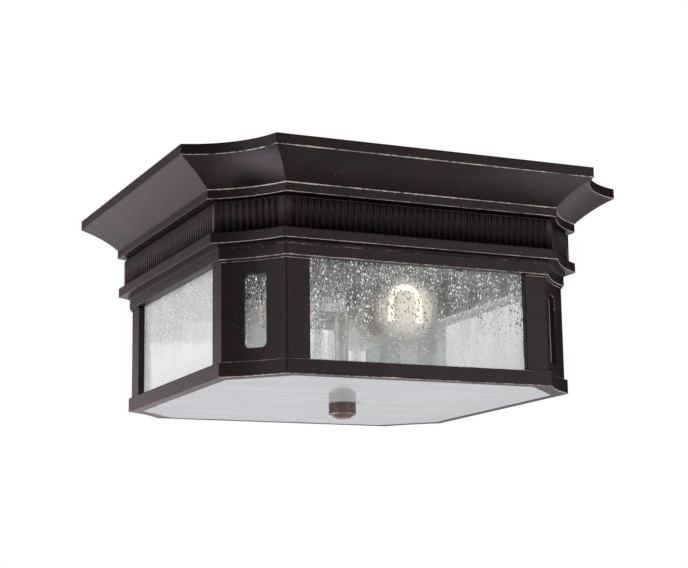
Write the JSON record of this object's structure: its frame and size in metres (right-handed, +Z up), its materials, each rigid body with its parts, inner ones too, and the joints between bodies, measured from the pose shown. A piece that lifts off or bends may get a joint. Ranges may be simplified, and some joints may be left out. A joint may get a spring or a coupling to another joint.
{
  "type": "outdoor ceiling light",
  "caption": "Square flush-mount porch light with hollowed corners: coved cornice, fluted frieze, seeded glass sides, slotted corner posts, lift-out bottom glass held by a finial.",
  "frame": {"origin": "On the ceiling plane, at the middle of the mounting strap's two box slots.", "axes": "+Z points up into the ceiling and the light hangs towards -Z; -Y is the front, the broad face of the picture; +X is the right side seen from the front."},
  "size_m": [0.33, 0.33, 0.1594],
  "materials": {
    "bronze": "dark bronze with light worn edges",
    "white_enamel": "white baked enamel",
    "seeded_glass": "clear glass full of small bubbles",
    "lamp_glass": "clear thin lamp glass",
    "zinc": "zinc plated",
    "brass": "plain",
    "porcelain": "glazed white",
    "rubber": "black",
    "foam": "closed-cell foam",
    "black_wire": "black insulation",
    "white_wire": "white insulation",
    "green_wire": "green insulation",
    "green_steel": "green screw",
    "connector": "orange plastic",
    "filament": "glowing warm white"
  },
  "bodies": {
    "housing": {"cornice": "bronze", "ceiling_gasket": "foam", "frieze_body": "bronze", "reflector_pan": "white_enamel", "corner_post_rear_right": "bronze", "corner_post_rear_left": "bronze", "corner_post_front_left": "bronze", "corner_post_front_right": "bronze", "rim_frame": "bronze", "right_pane": "seeded_glass", "rear_pane": "seeded_glass", "left_pane": "seeded_glass", "front_pane": "seeded_glass", "corner_glass_rear_right": "seeded_glass", "corner_glass_rear_left": "seeded_glass", "corner_glass_front_left": "seeded_glass", "corner_glass_front_right": "seeded_glass", "pane_clips": "zinc", "clip_screws": "zinc", "body_screws": "zinc", "post_screws_top": "zinc", "post_screws_bottom": "zinc", "rim_gasket": "rubber", "centre_stem": "zinc", "stem_nuts": "zinc", "stem_lock_washer": "zinc", "mounting_strap": "zinc", "strap_studs": "zinc", "stud_nuts": "zinc", "cap_nuts": "bronze", "ground_screws": "green_steel", "ground_lead": "green_wire", "socket_bracket_right": "zinc", "socket_bracket_left": "zinc", "bracket_screws": "zinc", "socket_body_right": "porcelain", "socket_body_left": "porcelain", "socket_shell_right": "brass", "socket_shell_left": "brass", "socket_contact_right": "brass", "socket_contact_left": "brass", "socket_screws": "zinc", "black_leads": "black_wire", "white_leads": "white_wire", "lead_grommets": "rubber", "wire_connectors": "connector"},
    "bottom_glass": {"bottom_glass": "seeded_glass", "glass_washer": "rubber"},
    "finial": {"finial": "bronze"},
    "lamp_tip_right": {"lamp_tip_right": "zinc"},
    "lamp_right": {"lamp_globe_right": "lamp_glass", "lamp_cap_right": "brass", "lamp_filament_right": "filament"},
    "lamp_tip_left": {"lamp_tip_left": "zinc"},
    "lamp_left": {"lamp_globe_left": "lamp_glass", "lamp_cap_left": "brass", "lamp_filament_left": "filament"}
  },
  "joints": [
    {"name": "glass_lower", "type": "slide", "parent": "housing", "child": "bottom_glass", "axis": [0, 0, -1], "range_m": [0, 0.008]},
    {"name": "finial_turn", "type": "hinge", "parent": "bottom_glass", "child": "finial", "pos_m": [0, 0, -0.1522], "axis": [0, 0, -1], "range_deg": [0, 2881]},
    {"name": "lamp_out_right", "type": "slide", "parent": "housing", "child": "lamp_tip_right", "axis": [0, -1, 0], "range_m": [0, 0.02177]},
    {"name": "lamp_turn_right", "type": "hinge", "parent": "lamp_tip_right", "child": "lamp_right", "pos_m": [0.042, -0.022, -0.079], "axis": [0, -1, 0], "range_deg": [0, 2161]},
    {"name": "lamp_out_left", "type": "slide", "parent": "housing", "child": "lamp_tip_left", "axis": [0, 1, 0], "range_m": [0, 0.02177]},
    {"name": "lamp_turn_left", "type": "hinge", "parent": "lamp_tip_left", "child": "lamp_left", "pos_m": [-0.042, 0.022, -0.079], "axis": [0, 1, 0], "range_deg": [0, 2161]}
  ],
  "couplings": [
    {"joint": "finial_turn", "follows": "glass_lower", "rad_per_m": 6283.2},
    {"joint": "lamp_turn_right", "follows": "lamp_out_right", "rad_per_m": 1731.4},
    {"joint": "lamp_turn_left", "follows": "lamp_out_left", "rad_per_m": 1731.4}
  ]
}
